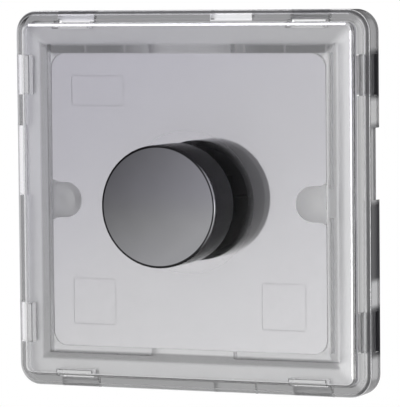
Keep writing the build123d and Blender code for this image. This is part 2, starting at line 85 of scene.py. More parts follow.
class Socket:
    """An output socket with Python's arithmetic, so that an expression adds its Math nodes."""

    def __init__(self, graph: "Graph", socket: bpy.types.NodeSocket) -> None:
        """Keeps the socket and the graph that it belongs to."""
        self.graph = graph
        self.socket = socket

    def _math(self, operation: str, first: Feed, second: Feed = 0.0) -> "Socket":
        """The output of a new Math node."""
        return self.graph.add("ShaderNodeMath", {0: first, 1: second}, operation=operation)

    def __add__(self, other: Feed) -> "Socket":
        """self + other."""
        return self._math("ADD", self, other)

    def __radd__(self, other: Feed) -> "Socket":
        """other + self."""
        return self._math("ADD", other, self)

    def __sub__(self, other: Feed) -> "Socket":
        """self - other."""
        return self._math("SUBTRACT", self, other)

    def __rsub__(self, other: Feed) -> "Socket":
        """other - self."""
        return self._math("SUBTRACT", other, self)

    def __mul__(self, other: Feed) -> "Socket":
        """self * other."""
        return self._math("MULTIPLY", self, other)

    def __rmul__(self, other: Feed) -> "Socket":
        """other * self."""
        return self._math("MULTIPLY", other, self)

    def __truediv__(self, other: Feed) -> "Socket":
        """self / other."""
        return self._math("DIVIDE", self, other)

    def __pow__(self, other: Feed) -> "Socket":
        """self to the power of other."""
        return self._math("POWER", self, other)

    def larger(self, other: Feed) -> "Socket":
        """The larger of the two."""
        return self._math("MAXIMUM", self, other)

    def smaller(self, other: Feed) -> "Socket":
        """The smaller of the two."""
        return self._math("MINIMUM", self, other)

    def size(self) -> "Socket":
        """The value without its sign."""
        return self._math("ABSOLUTE", self)

    def span(self, other: "Socket") -> "Socket":
        """Length of the slope whose sides are the two."""
        return (self * self + other * other) ** 0.5

    def towards(self, mask: "Socket", goal: Feed) -> "Socket":
        """This value where the mask is 0, and the goal where it is 1."""
        return self + mask * (goal - self)

    def ramp(self, low: float, high: float) -> "Socket":
        """Smooth step from 0 at low to 1 at high.

        Args:
            low: Value at which the step is 0. It may lie above high.
            high: Value at which the step is 1.

        Returns:
            The step's output.
        """
        start, end = min(low, high), max(low, high)
        step = self.graph.add(
            "ShaderNodeMapRange",
            {"Value": self, "From Min": start, "From Max": end},
            interpolation_type="SMOOTHSTEP",
        )
        return step if low < high else 1 - step


class Graph:
    """Node tree of one material, or of the world."""

    def __init__(self, owner: Union[bpy.types.Material, bpy.types.World]) -> None:
        """Empties a node tree and keeps it.

        Args:
            owner: The material or world that the tree belongs to.
        """
        owner.use_nodes = True
        self.tree = owner.node_tree
        self.tree.nodes.clear()

    def add(
        self,
        kind: str,
        feeds: Union[dict[Any, Feed], None] = None,
        output: Union[int, str] = 0,
        **settings: Any,
    ) -> Socket:
        """Adds any node.

        Args:
            kind: Blender's name of the node's type.
            feeds: Value or link of each input socket, by its name or number.
            output: Name or number of the output socket that is given back.
            **settings: The node's own settings, set before its sockets.

        Returns:
            The chosen output socket.
        """
        node = self.tree.nodes.new(kind)
        for name, value in settings.items():
            setattr(node, name, value)
        for name, value in (feeds or {}).items():
            if isinstance(value, Socket):
                self.tree.links.new(value.socket, node.inputs[name])
            else:
                node.inputs[name].default_value = value
        return Socket(self, node.outputs[output])

    def position(self) -> Socket:
        """Object coordinates, which are the frame's own metres."""
        return self.add("ShaderNodeTexCoord", output="Object")

    def axes(self, vector: Socket) -> tuple[Socket, Socket, Socket]:
        """The x, y and z of a vector."""
        parts = self.add("ShaderNodeSeparateXYZ", {0: vector}).socket.node.outputs
        return Socket(self, parts[0]), Socket(self, parts[1]), Socket(self, parts[2])

    def vector(self, x: Feed, y: Feed, z: Feed) -> Socket:
        """A vector from three numbers."""
        return self.add("ShaderNodeCombineXYZ", {0: x, 1: y, 2: z})

    def rays(self) -> dict[str, Socket]:
        """Which kind of ray looks, by the names of Light Path's outputs."""
        outputs = self.add("ShaderNodeLightPath").socket.node.outputs
        return {socket.name: Socket(self, socket) for socket in outputs}

    def noise(self, vector: Socket, size: float, detail: float = 2.0) -> Socket:
        """Noise about 0.5.

        Args:
            vector: Where the noise is read.
            size: Length of one blotch in metres.
            detail: Number of finer layers.

        Returns:
            The noise.
        """
        return self.add(
            "ShaderNodeTexNoise",
            {"Vector": vector, "Scale": 1 / size, "Detail": detail, "Roughness": NOISE_ROUGHNESS},
        )

    def mix(self, factor: Feed, first: Feed, second: Feed) -> Socket:
        """Colour between two others."""
        return self.add("ShaderNodeMix", {0: factor, 6: first, 7: second}, output=2, data_type="RGBA")

    def bump(self, height: Socket) -> Socket:
        """Normal bent by a height in metres."""
        return self.add("ShaderNodeBump", {"Height": height, "Distance": 1.0, "Strength": 1.0})

    def principled(self, **feeds: Feed) -> Socket:
        """Principled shader, with its sockets named in lower case and with underscores."""
        names = {name: name.replace("_", " ").title().replace("Ior", "IOR") for name in feeds}
        return self.add("ShaderNodeBsdfPrincipled", {names[name]: feed for name, feed in feeds.items()})

    def finish(
        self, surface: Socket, filling: Optional[Socket] = None, kind: str = "ShaderNodeOutputMaterial"
    ) -> None:
        """Links the shaders to the output.

        Args:
            surface: Shader of the surface.
            filling: Shader of what the piece is filled with, if light goes through it.
            kind: Type of the output node.
        """
        node = self.tree.nodes.new(kind)
        self.tree.links.new(surface.socket, node.inputs["Surface"])
        if filling is not None:
            self.tree.links.new(filling.socket, node.inputs["Volume"])


def opaque(colour: Colour, share: float = 1.0) -> tuple[float, float, float, float]:
    """A colour made lighter or darker by a share, with full alpha."""
    return (colour[0] * share, colour[1] * share, colour[2] * share, 1.0)


@dataclass(frozen=True)
class Finish:
    """What all finishes share: a name and the making of their material."""

    name: str
    made: ClassVar[dict[str, bpy.types.Material]] = {}

    def shade(self, graph: Graph) -> Socket:
        """The finish's shader."""
        raise NotImplementedError

    def fill(self, graph: Graph) -> Optional[Socket]:
        """What the piece is filled with, which is nothing unless light goes through it."""
        return None

    def material(self) -> bpy.types.Material:
        """Makes the finish's material, once.

        Returns:
            The material.
        """
        if self.name not in self.made:
            self.made[self.name] = bpy.data.materials.new(self.name)
            graph = Graph(self.made[self.name])
            graph.finish(self.shade(graph), self.fill(graph))
        return self.made[self.name]

    def dress(self, piece: bpy.types.Object) -> None:
        """Gives the whole piece this finish."""
        piece.data.materials.clear()
        piece.data.materials.append(self.material())


@dataclass(frozen=True)
class Faces:
    """How the faces of a clear moulding differ: shares from 0 to 1, and for matt a number of frostings;
    clear falls where shade is painted, and the third share is that of the flat shader that paints shade.
    """

    clear: Feed = 1.0
    matt: Feed = 0.0
    painted_shade: Feed = 0.0
    glossy: Feed = 0.0


@dataclass(frozen=True)
class ClearMoulding(Finish):
    """Clear moulded plastic: polished in front, matt and grey on the faces turned to the wall, the grey
    being painted shade.
    """

    tint: Colour
    density: float
    half: float
    corner: float
    chamfer: float
    front: float
    grey: Colour = (0.5, 0.5, 0.52)
    # A cooler tint painted towards the top left, standing for the bluish cast of the shade there.
    cool: Colour = (0.94, 0.938, 0.962)
    cool_span: Span = (-10 * MM, 50 * MM)
    # Colour of the flat shader that paints shade on the outer sides.
    shade_colour: Colour = (0.03, 0.03, 0.032)
    roughness: float = 0.03
    frosting: float = 0.3
    smear_size: float = 3 * MM
    smear_tone: float = 0.015
    haze: float = 0.02
    haze_span: Span = (0.45, 0.8)
    ior: float = 1.5
    gloss_ior: float = 2.6
    fine: float = 0.1 * MM

    def between(self, value: Socket, low: float, high: float) -> Socket:
        """1 where a value lies between two others."""
        fine = self.fine
        return value.ramp(low - fine, low + fine) * value.ramp(high + fine, high - fine)

    def fill(self, graph: Graph) -> Optional[Socket]:
        """Grey that deepens with the thickness."""
        feeds = {"Color": opaque(self.grey), "Density": self.density}
        return graph.add("ShaderNodeVolumeAbsorption", feeds)

    def inset(self, wide: Socket, tall: Socket, half: float, corner: float) -> Socket:
        """Distance from a rounded square's outline inwards.

        Args:
            wide: Distance from the middle across.
            tall: Distance from the middle up or down.
            half: Half of the square's side.
            corner: Radius of its corners.

        Returns:
            The distance, which stops growing at the radius.
        """
        turn_x = (wide - (half - corner)).larger(0.0)
        turn_z = (tall - (half - corner)).larger(0.0)
        return corner - turn_x.span(turn_z)

    def by_side(self, across: Socket, up: Socket, tones: Tones, soft: float) -> Socket:
        """Blends four tones about the diagonals of the plate.

        Args:
            across: Place across the plate.
            up: Place up the plate.
            tones: Tones of the left, the right, the top and the bottom.
            soft: Half of the width of the blend.

        Returns:
            The tone of the side that each place belongs to.
        """
        left, right, top, bottom = tones
        beside = (across.size() - up.size()).ramp(-soft, soft)
        level = top + (bottom - top) * up.ramp(soft, -soft)
        return level.towards(beside, left + (right - left) * across.ramp(-soft, soft))

    def faces(self, graph: Graph, place: Socket) -> Faces:
        """How the faces differ."""
        raise NotImplementedError

    def shade(self, graph: Graph) -> Socket:
        """Refracting shader with uneven polish and painted shade in its colour, mixed with a flat grey one
        that paints shade.

        Args:
            graph: The node tree.

        Returns:
            The shader.
        """
        place = graph.position()
        smears = graph.noise(place, self.smear_size, 4.0)
        faces = self.faces(graph, place)
        across, _, up = graph.axes(place)
        # Painted shade: the tint turns bluish towards the top left.
        tint = graph.mix((up - across).ramp(*self.cool_span), opaque(self.tint), opaque(self.cool))
        polish = 1 - self.smear_tone + self.smear_tone * smears
        haze = self.roughness + self.haze * smears.ramp(*self.haze_span)
        clear = graph.principled(
            base_color=graph.mix(faces.clear * polish, BLACK, tint),
            roughness=haze + self.frosting * faces.matt,
            coat_weight=faces.glossy,
            coat_ior=self.gloss_ior,
            transmission_weight=1.0,
            ior=self.ior,
        )
        # Flat grey shader that stands for shade where shade is painted.
        painted_shade = graph.add("ShaderNodeBsdfDiffuse", {"Color": opaque(self.shade_colour)})
        return graph.add("ShaderNodeMixShader", {0: faces.painted_shade, 1: clear, 2: painted_shade})


@dataclass(frozen=True)
class ClearFrame(ClearMoulding):
    """The frame's plastic: matt behind, a rim greyed by painted shade with clear windows, and painted
    shade along the top and the right.

    A lighter painted patch of the right side is its two ends up the plate, in millimetres, and its share
    of the painted shade.
    """

    wall: float = 2.2 * MM
    deck_back: float = 3.55 * MM
    hooks: Span = (23.95 * MM, 33.05 * MM)
    pry: Span = (4.5 * MM, 14.5 * MM)
    side_pry: Span = (0.8 * MM, 16.8 * MM)
    notch_floor: float = 0.8 * MM
    notch_roof: Span = (3.2 * MM, 3.1 * MM)
    bar_start: float = 41.7 * MM
    window_shift: float = 1.1 * MM
    back_matt: float = 2.0
    # Painted contact shadow: a dark line on the rim along the panel's edge, darkest at the bottom.
    contact_shadow: Span = (2.35 * MM, 2.8 * MM)
    # Painted shade: grey tones of the rim's front and of its chamfer for the left, the right, the top and
    # the bottom.
    rim_shade_tones: Tones = (0.16, 0.33, 0.14, 0.17)
    edge_shade_tones: Tones = (0.3, 0.2, 0.12, 0.15)
    edge_shares: Span = (0.9, 0.6)
    contact_shadow_tones: Tones = (1.0, 0.5, 0.3, 0.06)
    side_soft: float = 1 * MM
    corner_fade: Span = (-4 * MM, -1 * MM)
    # Painted shade on the outer sides turned from the light, changing with the distance from the wall, and
    # on the rim's chamfer.
    shade_shares: Span = (0.97, 0.88)
    shade_span: Span = (1 * MM, 5 * MM)
    edge_shade: float = 0.7
    # Lighter painted patches along the right side, where the shade is painted thinner.
    lit_patches: tuple[tuple[float, float, float], ...] = (
        (34.0, 45.0, 0.7),
        (17.5, 23.3, 0.5),
        (0.3, 16.8, 0.65),
        (-22.8, -17.0, 0.5),
        (-45.0, -34.0, 0.55),
    )
    lit_patch_soft: float = 0.8 * MM

    def faces(self, graph: Graph, place: Socket) -> Faces:
        """Matt backs and notches, a rim greyed by painted shade, and painted shade on the sides turned
        away from the light.

        Args:
            graph: The node tree.
            place: Object coordinates.

        Returns:
            How the faces differ.
        """
        across, along, up = graph.axes(place)
        depth = along * -1.0
        wide, tall = across.size(), up.size()
        inset = self.inset(wide, tall, self.half, self.corner)
        fine = self.fine
        right = (across - tall).ramp(*self.corner_fade)
        away = right.larger((up - wide).ramp(*self.corner_fade))
        within = inset.ramp(self.wall + 2 * fine, self.wall + 4 * fine)
        shoulder = self.front - self.chamfer
        ahead = depth.ramp(shoulder + fine, shoulder + 2 * fine)
        edges = inset.ramp(*(share * self.chamfer for share in self.edge_shares)) * ahead
        closed = (1 - within) * ahead * (1 - self.windows(across - self.window_shift, up))
        # Painted contact shadow between the rim and the panel.
        contact_shadow = self.between(inset, *self.contact_shadow) * ahead
        # Painted shade greys the rim outside the windows and darkens its chamfer, side by side.
        clear = 1 - closed * (1 - self.by_side(across, up, self.rim_shade_tones, self.side_soft))
        clear = clear.towards(edges, self.by_side(across, up, self.edge_shade_tones, self.side_soft))
        clear = clear * (1 - contact_shadow * (1 - self.by_side(across, up, self.contact_shadow_tones, self.side_soft)))
        sides = inset.ramp(fine, 0.5 * fine) * depth.ramp(shoulder + fine, shoulder) * away
        # Painted shade: the outer faces of the hook tips on the right get the flat grey shader.
        shaded_tips = right * (1 - within) * self.between(tall, *self.hooks)
        shaded_tips = shaded_tips * depth.ramp(self.notch_floor + 2 * fine, self.notch_floor + fine)
        shaded_tips = shaded_tips * across.ramp(self.bar_start - fine, self.bar_start + fine)
        # Painted shade: the flat grey shader on the sides and the chamfer turned away from the light.
        painted_shade = (sides * self.shade_share(right, up, depth)).larger(edges * away * self.edge_shade)
        backs = within * depth.ramp(self.deck_back + 4 * fine, self.deck_back + 2 * fine)
        cuts = self.between(inset, 3 * fine, self.wall - 3 * fine) * depth.ramp(*self.notch_roof)
        matt = (self.back_matt * backs.larger(cuts)).larger(edges)
        return Faces(clear, matt, painted_shade.larger(shaded_tips * self.shade_shares[0]))

    def shade_share(self, right: Socket, up: Socket, depth: Socket) -> Socket:
        """Share of painted shade on the outer sides, less in the lighter painted patches of the right one.

        Args:
            right: 1 on the right side.
            up: Place up the plate.
            depth: Distance from the wall.

        Returns:
            The share.
        """
        low, high = self.shade_shares
        shade_colour = low + (high - low) * depth.ramp(*self.shade_span)
        for start, end, share in self.lit_patches:
            past = (up - 0.5 * (start + end) * MM).size() - 0.5 * (end - start) * MM
            shade_colour = shade_colour * (1 - (1 - share) * right * past.ramp(self.lit_patch_soft, -self.lit_patch_soft))
        return shade_colour

    def windows(self, across: Socket, up: Socket) -> Socket:
        """1 where the rim shows the light behind it through the notches of its wall.

        Args:
            across: Place across the plate.
            up: Place up the plate.

        Returns:
            The mask of the windows at the top and the left.
        """
        low, high = self.hooks
        ends = self.between(across, -high, -low).larger(self.between(across, *self.pry))
        sides = self.between(up.size(), low, high).larger(self.between(up, *self.side_pry))
        left = (-1.0 * across - up.size()).ramp(-self.fine, self.fine)
        upper = (up - across.size()).ramp(-self.fine, self.fine)
        return (ends * upper).larger(sides * left)


@dataclass(frozen=True)
class ClearPanel(ClearMoulding):
    """The front panel's plastic: a bright chamfer with painted shade on its outer part, and a back greyed
    by painted shade but over the bright plate.
    """

    back: float = 6.85 * MM
    plate: Span = (33.3 * MM, 3.3 * MM)
    # Painted shadow of the ribs: a soft band round the bright plate, in dashes along the top.
    band_starts: Tones = (34.2 * MM, 33.9 * MM, 33.4 * MM, 34.5 * MM)
    band_width: float = 1.9 * MM
    band_soft: float = 0.3 * MM
    dash: float = 9.7 * MM
    dash_shift: float = 0.55
    dash_line: Span = (0.46, 0.49)
    dash_share: float = 0.3
    gap_span: Span = (18 * MM, 4 * MM)
    gap_tone: float = 0.6
    gloss_starts: Tones = (0.2 * MM, 0.36 * MM, 0.2 * MM, 0.4 * MM)
    # Painted shade on the chamfer's outer part and the line below it, darkest on the right and at the
    # bottom.
    outer_shade_tones: Tones = (1.0, 0.1, 0.7, 0.1)
    outer_soft: float = 0.5 * MM
    lug: Span = (30.15 * MM, 4.0 * MM)
    lug_flare: float = 1.5 * MM
    # Painted shade over the lugs, darker on the left.
    lug_shade_tones: Span = (0.47, 0.85)
    lug_matt: float = 2.8
    hook_matts: Tones = (0.6, 1.0, 1.0, 0.6)
    hook_soft: float = 1 * MM
    # Painted shade of the margin for each side, outside and inside the band, and of the band itself.
    margin_shade_tones: Tones = (0.46, 0.85, 0.3, 0.46)
    margin_soft: float = 2 * MM
    inner_shade_tones: Tones = (0.45, 0.6, 0.3, 0.6)
    rib_shadow_tones: Tones = (0.42, 0.4, 0.14, 0.3)
    side_shade: float = 0.6
    line: float = 0.6 * MM

    def faces(self, graph: Graph, place: Socket) -> Faces:
        """Painted shade greying the back, the lugs, the outer sides and the chamfer's outer part, matt
        hooks, matt patches over the lugs and a gloss on the chamfer.

        Args:
            graph: The node tree.
            place: Object coordinates.

        Returns:
            How the faces differ.
        """
        across, along, up = graph.axes(place)
        depth = along * -1.0
        wide, tall = across.size(), up.size()
        inset = self.inset(wide, tall, self.half, self.corner)
        fine = self.fine
        behind = depth.ramp(self.back + 2 * fine, self.back + fine) * inset.ramp(-fine, 0.0)
        # Painted shade greys the back over the margin round the bright plate.
        margin = behind * self.inset(wide, tall, *self.plate).ramp(0.5 * fine, -0.5 * fine)
        lugs = behind * (1 - margin) * self.lugs(wide, tall)
        # Painted shade over the lugs, darker on the left than on the right.
        left_tone, right_tone = self.lug_shade_tones
        lug_shade_tone = left_tone + (right_tone - left_tone) * across.ramp(-fine, fine)
        clear = 1 - margin * (1 - self.shading(graph, across, up)) - lugs * (1 - lug_shade_tone)
        shoulder = self.front - self.chamfer
        bevel = inset.ramp(self.chamfer, self.chamfer - fine) * depth.ramp(shoulder, shoulder + fine)
        inner = (inset - self.by_side(across, up, self.gloss_starts, self.outer_soft)).ramp(0.0, fine)
        outside = inset.ramp(fine, 0.5 * fine)
        # Painted shade: a dark line just below the chamfer, and the chamfer's outer part greyed by side.
        lines = outside * self.between(depth, shoulder - self.line, shoulder)
        grey = 1 - self.by_side(across, up, self.outer_shade_tones, self.outer_soft)
        clear = clear * (1 - bevel * (1 - inner) * grey) * (1 - lines * grey)
        # Painted shade on the outer sides, through the flat grey shader.
        sides = outside * self.between(depth, self.back, shoulder - self.line)
        hooks = depth.ramp(self.back - fine, self.back - 2 * fine)
        hooks = hooks * self.by_side(across, up, self.hook_matts, self.hook_soft)
        return Faces(clear, hooks.larger(self.lug_matt * lugs), sides * self.side_shade, bevel * inner)

    def lugs(self, wide: Socket, tall: Socket) -> Socket:
        """1 over the notches of the bright plate that the lugs show in.

        Args:
            wide: Distance from the middle across.
            tall: Distance from the middle up or down.

        Returns:
            The mask of both notches, which widen towards the plate's edge.
        """
        middle, radius = self.lug
        edge = self.plate[0]
        before = (middle - wide).larger(0.0)
        widening = self.lug_flare * wide.ramp(edge - self.lug_flare, edge + self.lug_flare)
        off = before.span(tall) - widening
        return off.ramp(radius + self.fine, radius - self.fine)

    def shading(self, graph: Graph, across: Socket, up: Socket) -> Socket:
        """Painted shade of the margin round the bright plate, with a soft band of painted shadow over the
        ribs.

        Args:
            graph: The node tree.
            across: Place across the plate.
            up: Place up the plate.

        Returns:
            How clear the margin is, from 0 to 1; along the top the band of painted rib shadow is in
            dashes.
        """
        soft = self.band_soft
        past = across.size().larger(up.size()) - self.by_side(across, up, self.band_starts, 2 * soft)
        outer = self.by_side(across, up, self.margin_shade_tones, self.margin_soft)
        inner = self.by_side(across, up, self.inner_shade_tones, 2 * soft)
        # Painted shadow of the ribs in a soft band.
        band = past.ramp(-soft, soft) * past.ramp(self.band_width + 2 * soft, self.band_width - soft)
        share = graph.add("ShaderNodeMath", {0: across / self.dash + self.dash_shift}, operation="FRACT")
        lines = self.dash_share * (share - 0.5).size().ramp(*self.dash_line)
        gaps = (across.size().ramp(*self.gap_span) + lines) * (up - across.size()).ramp(-soft, soft)
        tone = self.by_side(across, up, self.rib_shadow_tones, 2 * soft)
        tone = tone.towards(gaps.smaller(1.0), self.gap_tone)
        return inner.towards(past.ramp(-soft, soft), outer) * (1 - band * (1 - tone))


@dataclass(frozen=True)
class TurnedMetal(Finish):
    """Metal turned about the knob's axis, with rings on its faces and lines round its sides."""

    colour: Colour
    roughness: float
    ring_size: float = 0.25 * MM
    ring_depth: float = 0.00002 * MM
    ring_gloss: float = 0.04
    stain: float = 0.1
    stain_size: float = 6 * MM
    grazing: float = 1.0

    def shade(self, graph: Graph) -> Socket:
        """Metal shader with fine rings about the axis.

        Args:
            graph: The node tree.

        Returns:
            The shader.
        """
        place = graph.position()
        across, along, up = graph.axes(place)
        radius = across.span(up)
        rings = graph.noise(graph.vector(radius, along, 0.0), self.ring_size, 3.0)
        stains = graph.noise(place, self.stain_size, 4.0)
        tone = (1 - self.stain + self.stain * stains) * self.tone(across, along, radius)
        return graph.principled(
            base_color=graph.mix(tone, BLACK, opaque(self.colour)),
            metallic=1.0,
            roughness=self.roughness + self.ring_gloss * rings * stains,
            normal=graph.bump(rings * self.ring_depth),
            specular_tint=opaque((self.grazing, self.grazing, self.grazing)),
        )

    def tone(self, across: Socket, along: Socket, radius: Socket) -> Feed:
        """Share of the full colour that shows at a place."""
        return 1.0


@dataclass(frozen=True)
class BlackNickel(TurnedMetal):
    """Black nickel over the turned cap, darker on its side as painted shade and on the rounded edge of its
    face.
    """

    rim: float = 13.05 * MM
    front: float = 23.98 * MM
    edge_tone: float = 0.1
    # Painted highlight: the edge keeps its full colour along a line at the right, where the lamp shows in
    # it.
    glint: float = 13.36 * MM
    glint_start: float = 9 * MM
    # Painted shade: the side is darker to stand for the dark reflections round it.
    side_tone: float = 0.18
    soft: float = 0.05 * MM
    grazing: float = 0.5

    def tone(self, across: Socket, along: Socket, radius: Socket) -> Socket:
        """Share of the full colour, less on the side as painted shade, and on the edge but for a painted
        highlight line at its right.

        Args:
            across: Place across the plate.
            along: Place along the axis.
            radius: Distance from the axis.

        Returns:
            The share.
        """
        soft = self.soft
        edge = radius.ramp(self.rim - soft, self.rim + soft) * along.ramp(soft - self.front, -self.front)
        # Painted highlight line at the right of the edge.
        line = radius.ramp(self.glint - soft, self.glint + soft) * across.ramp(self.glint_start, self.rim)
        # Painted shade on the side.
        side = along.ramp(-self.front - soft, -self.front + soft)
        return (1 - (1 - self.edge_tone) * edge * (1 - line)) * (1 - (1 - self.side_tone) * side)


@dataclass(frozen=True)
class SheetMetal(Finish):
    """Rolled, pressed or plated metal with a faint grain along one way and soft stains."""

    colour: Colour
    roughness: float
    grain: tuple[float, float, float] = (1.0, 1.0, 12.0)
    grain_size: float = 0.4 * MM
    grain_depth: float = 0.00004 * MM
    gloss_change: float = 0.02
    stain: float = 0.1
    stain_size: float = 12 * MM

    def shade(self, graph: Graph) -> Socket:
        """Metal shader with its grain in the normal and the roughness.

        Args:
            graph: The node tree.

        Returns:
            The shader.
        """
        place = graph.position()
        drawn = graph.add("ShaderNodeMapping", {"Vector": place, "Scale": self.grain})
        grain = graph.noise(drawn, self.grain_size * max(self.grain))
        stains = graph.noise(place, self.stain_size, 3.0)
        tone = self.tone(graph, place, stains)
        return graph.principled(
            base_color=graph.mix(tone, BLACK, opaque(self.colour)),
            metallic=1.0,
            roughness=self.roughness + self.gloss_change * grain + self.gloss_change * stains,
            normal=graph.bump(grain * self.grain_depth),
            **self.film(graph, place),
        )

    def film(self, graph: Graph, place: Socket) -> dict[str, Feed]:
        """Settings of a film over the metal, if it has one."""
        return {}

    def tone(self, graph: Graph, place: Socket, stains: Socket) -> Socket:
        """Share of the full colour that shows at each place."""
        return 1 - self.stain + self.stain * stains


@dataclass(frozen=True)
class InsertMetal(SheetMetal):
    """Bright plate under a hazy film, with a line of painted shade round each bare pad and painted shade
    towards the top.

    A pad is its middle across and up, and half of its width and height, in millimetres.
    """

    pads: tuple[tuple[float, float, float, float], ...] = (
        (-21.9, 24.9, 6.4, 3.4),
        (-23.1, -23.1, 5.2, 5.2),
        (23.1, -23.1, 5.2, 5.2),
    )
    # Painted shade along the pads' outlines, where their recessed edges fall in shade.
    line: float = 0.22 * MM
    line_core: float = 0.4
    round: float = 0.8 * MM
    painted_shade: float = 0.22
    # Painted shade: the plate darkens towards the top.
    fade: float = 0.1
    fade_span: Span = (-25 * MM, 20 * MM)
    haze: float = 0.7
    haze_roughness: float = 0.5
    haze_ior: float = 3.6
    # Painted shade: the film is thinner near the knob, which darkens the plate round it.
    bare: float = 15.4 * MM
    bare_soft: float = 1.2 * MM
    bare_share: float = 0.25

    def film(self, graph: Graph, place: Socket) -> dict[str, Feed]:
        """Settings of the hazy film over the bright metal, which is thinned near the knob to paint shade
        round its foot.

        Args:
            graph: The node tree.
            place: Object coordinates.

        Returns:
            Values of the shader's coat sockets.
        """
        across, _, up = graph.axes(place)
        radius = across.span(up)
        outside = radius.ramp(self.bare - self.bare_soft, self.bare + self.bare_soft)
        # Painted shade round the knob through a thinner film.
        weight = self.haze * (self.bare_share + (1 - self.bare_share) * outside)
        return {"coat_weight": weight, "coat_roughness": self.haze_roughness, "coat_ior": self.haze_ior}

    def tone(self, graph: Graph, place: Socket, stains: Socket) -> Socket:
        """Share of the full colour, with painted shade towards the top and along the outline of each pad.

        Args:
            graph: The node tree.
            place: Object coordinates.
            stains: Noise of the stains.

        Returns:
            The share.
        """
        across, _, up = graph.axes(place)
        # Painted shade darkening towards the top.
        tone = super().tone(graph, place, stains) * (1 - self.fade * up.ramp(*self.fade_span))
        for middle_x, middle_z, half_x, half_z in self.pads:
            over_x = (across - middle_x * MM).size() - half_x * MM + self.round
            over_z = (up - middle_z * MM).size() - half_z * MM + self.round
            past = over_x.larger(0.0).span(over_z.larger(0.0)) + over_x.larger(over_z).smaller(0.0)
            # Painted shade along each pad's outline.
            outline = (past - self.round).size().ramp(self.line, self.line_core * self.line)
            tone = tone * (1 - self.painted_shade * outline)
        return tone


@dataclass(frozen=True)
class Moulding(Finish):
    """Opaque moulded plastic with the fine spark texture of its mould."""

    colour: Colour
    roughness: float = 0.42
    spark_size: float = 0.16 * MM
    spark_depth: float = 0.004 * MM
    spark_gloss: float = 0.08
    mottle: float = 0.06
    flow_size: float = 10 * MM
    flow_gloss: float = 0.12
    shine: float = 0.45

    def shade(self, graph: Graph) -> Socket:
        """Plastic shader with a pebbled normal and slow changes of tone.

        Args:
            graph: The node tree.

        Returns:
            The shader.
        """
        place = graph.position()
        sparks = graph.noise(place, self.spark_size)
        flow = graph.noise(place, self.flow_size, 3.0)
        return graph.principled(
            base_color=graph.mix(flow, opaque(self.colour, 1 - self.mottle), opaque(self.colour)),
            roughness=self.roughness + self.flow_gloss * (flow - 0.5) + self.spark_gloss * sparks,
            normal=graph.bump(sparks * self.spark_depth),
            specular_ior_level=self.shine,
        )


@dataclass(frozen=True)
class Laminate(Finish):
    """Coated glass laminate of a circuit board, with its weave showing through."""

    colour: Colour
    thread: float = 0.5 * MM
    thread_depth: float = 0.002 * MM
    thread_tone: float = 0.8
    roughness: float = 0.32
    weave_gloss: float = 0.1
    coat: float = 0.4

    def shade(self, graph: Graph) -> Socket:
        """Plastic shader over a woven tone.

        Args:
            graph: The node tree.

        Returns:
            The shader.
        """
        across, _, up = graph.axes(graph.position())
        turns = math.tau / self.thread
        warp = graph.add("ShaderNodeMath", {0: across * turns}, operation="SINE")
        weft = graph.add("ShaderNodeMath", {0: up * turns}, operation="SINE")
        weave = warp * weft * 0.5 + 0.5
        return graph.principled(
            base_color=graph.mix(weave, opaque(self.colour, self.thread_tone), opaque(self.colour)),
            roughness=self.roughness + self.weave_gloss * weave,
            normal=graph.bump(weave * self.thread_depth),
            coat_weight=self.coat,
        )


@dataclass(frozen=True)
class Palette:
    """The finishes of this switch."""

    frame: ClearFrame = ClearFrame(
        "clear_frame",
        (0.95, 0.95, 0.955),
        density=40.0,
        half=43 * MM,
        corner=5 * MM,
        chamfer=1 * MM,
        front=6.8 * MM,
    )
    panel: ClearPanel = ClearPanel(
        "clear_panel",
        (0.96, 0.96, 0.965),
        density=15.0,
        half=40.25 * MM,
        corner=2 * MM,
        chamfer=0.7 * MM,
        front=9.35 * MM,
        shade_colour=(0.5, 0.5, 0.51),
    )
    insert: InsertMetal = InsertMetal("bright_insert", (0.775, 0.77, 0.775), 0.03, stain=0.05)
    black_nickel: BlackNickel = BlackNickel("black_nickel", (0.235, 0.235, 0.245), 0.07)
    black_plastic: Moulding = Moulding("black_plastic", (0.02, 0.02, 0.021))
    spring_steel: SheetMetal = SheetMetal("spring_steel", (0.56, 0.56, 0.58), 0.25)
    aluminium: TurnedMetal = TurnedMetal("turned_aluminium", (0.72, 0.72, 0.73), 0.24)
    brass: TurnedMetal = TurnedMetal("turned_brass", (0.74, 0.55, 0.26), 0.22)
    zinc: SheetMetal = SheetMetal("zinc_plate", (0.62, 0.62, 0.62), 0.3, grain=(1.0, 1.0, 1.0))
    control: Moulding = Moulding("control_plastic", (0.06, 0.06, 0.065))
    track: Moulding = Moulding("track_board", (0.22, 0.12, 0.06), 0.5)
    rotor: Moulding = Moulding("rotor_plastic", (0.72, 0.71, 0.66), 0.38)
    board: Laminate = Laminate("coated_board", (0.03, 0.17, 0.08))
    ferrite: Moulding = Moulding("ferrite", (0.05, 0.05, 0.052), 0.6)
    copper: SheetMetal = SheetMetal("enamelled_copper", (0.62, 0.27, 0.12), 0.28)
    capacitor: Moulding = Moulding("capacitor_case", (0.68, 0.48, 0.06), 0.35)
    transistor: Moulding = Moulding("transistor_case", (0.03, 0.03, 0.03), 0.5)
    fuse: Moulding = Moulding("fuse_case", (0.08, 0.05, 0.04), 0.4)
    module: Moulding = Moulding("module_plastic", (0.63, 0.63, 0.615))


PALETTE = Palette()


def points(made: list[Any]) -> list[bmesh.types.BMVert]:
    """The vertices among what an operator made."""
    return [item for item in made if isinstance(item, bmesh.types.BMVert)]


def everything(shape: Shape) -> list[Any]:
    """All that a mesh is made of."""
    return shape.verts[:] + shape.edges[:] + shape.faces[:]


def smooth_copy(node: str) -> Shape:
    """Copies a CAD node's mesh and merges its loose triangles.

    Args:
        node: The CAD node.

    Returns:
        The copy.
    """
    shape = bmesh.new()
    shape.from_mesh(frame["nodes"][node].data)
    bmesh.ops.remove_doubles(shape, verts=shape.verts, dist=MERGE)
    return shape


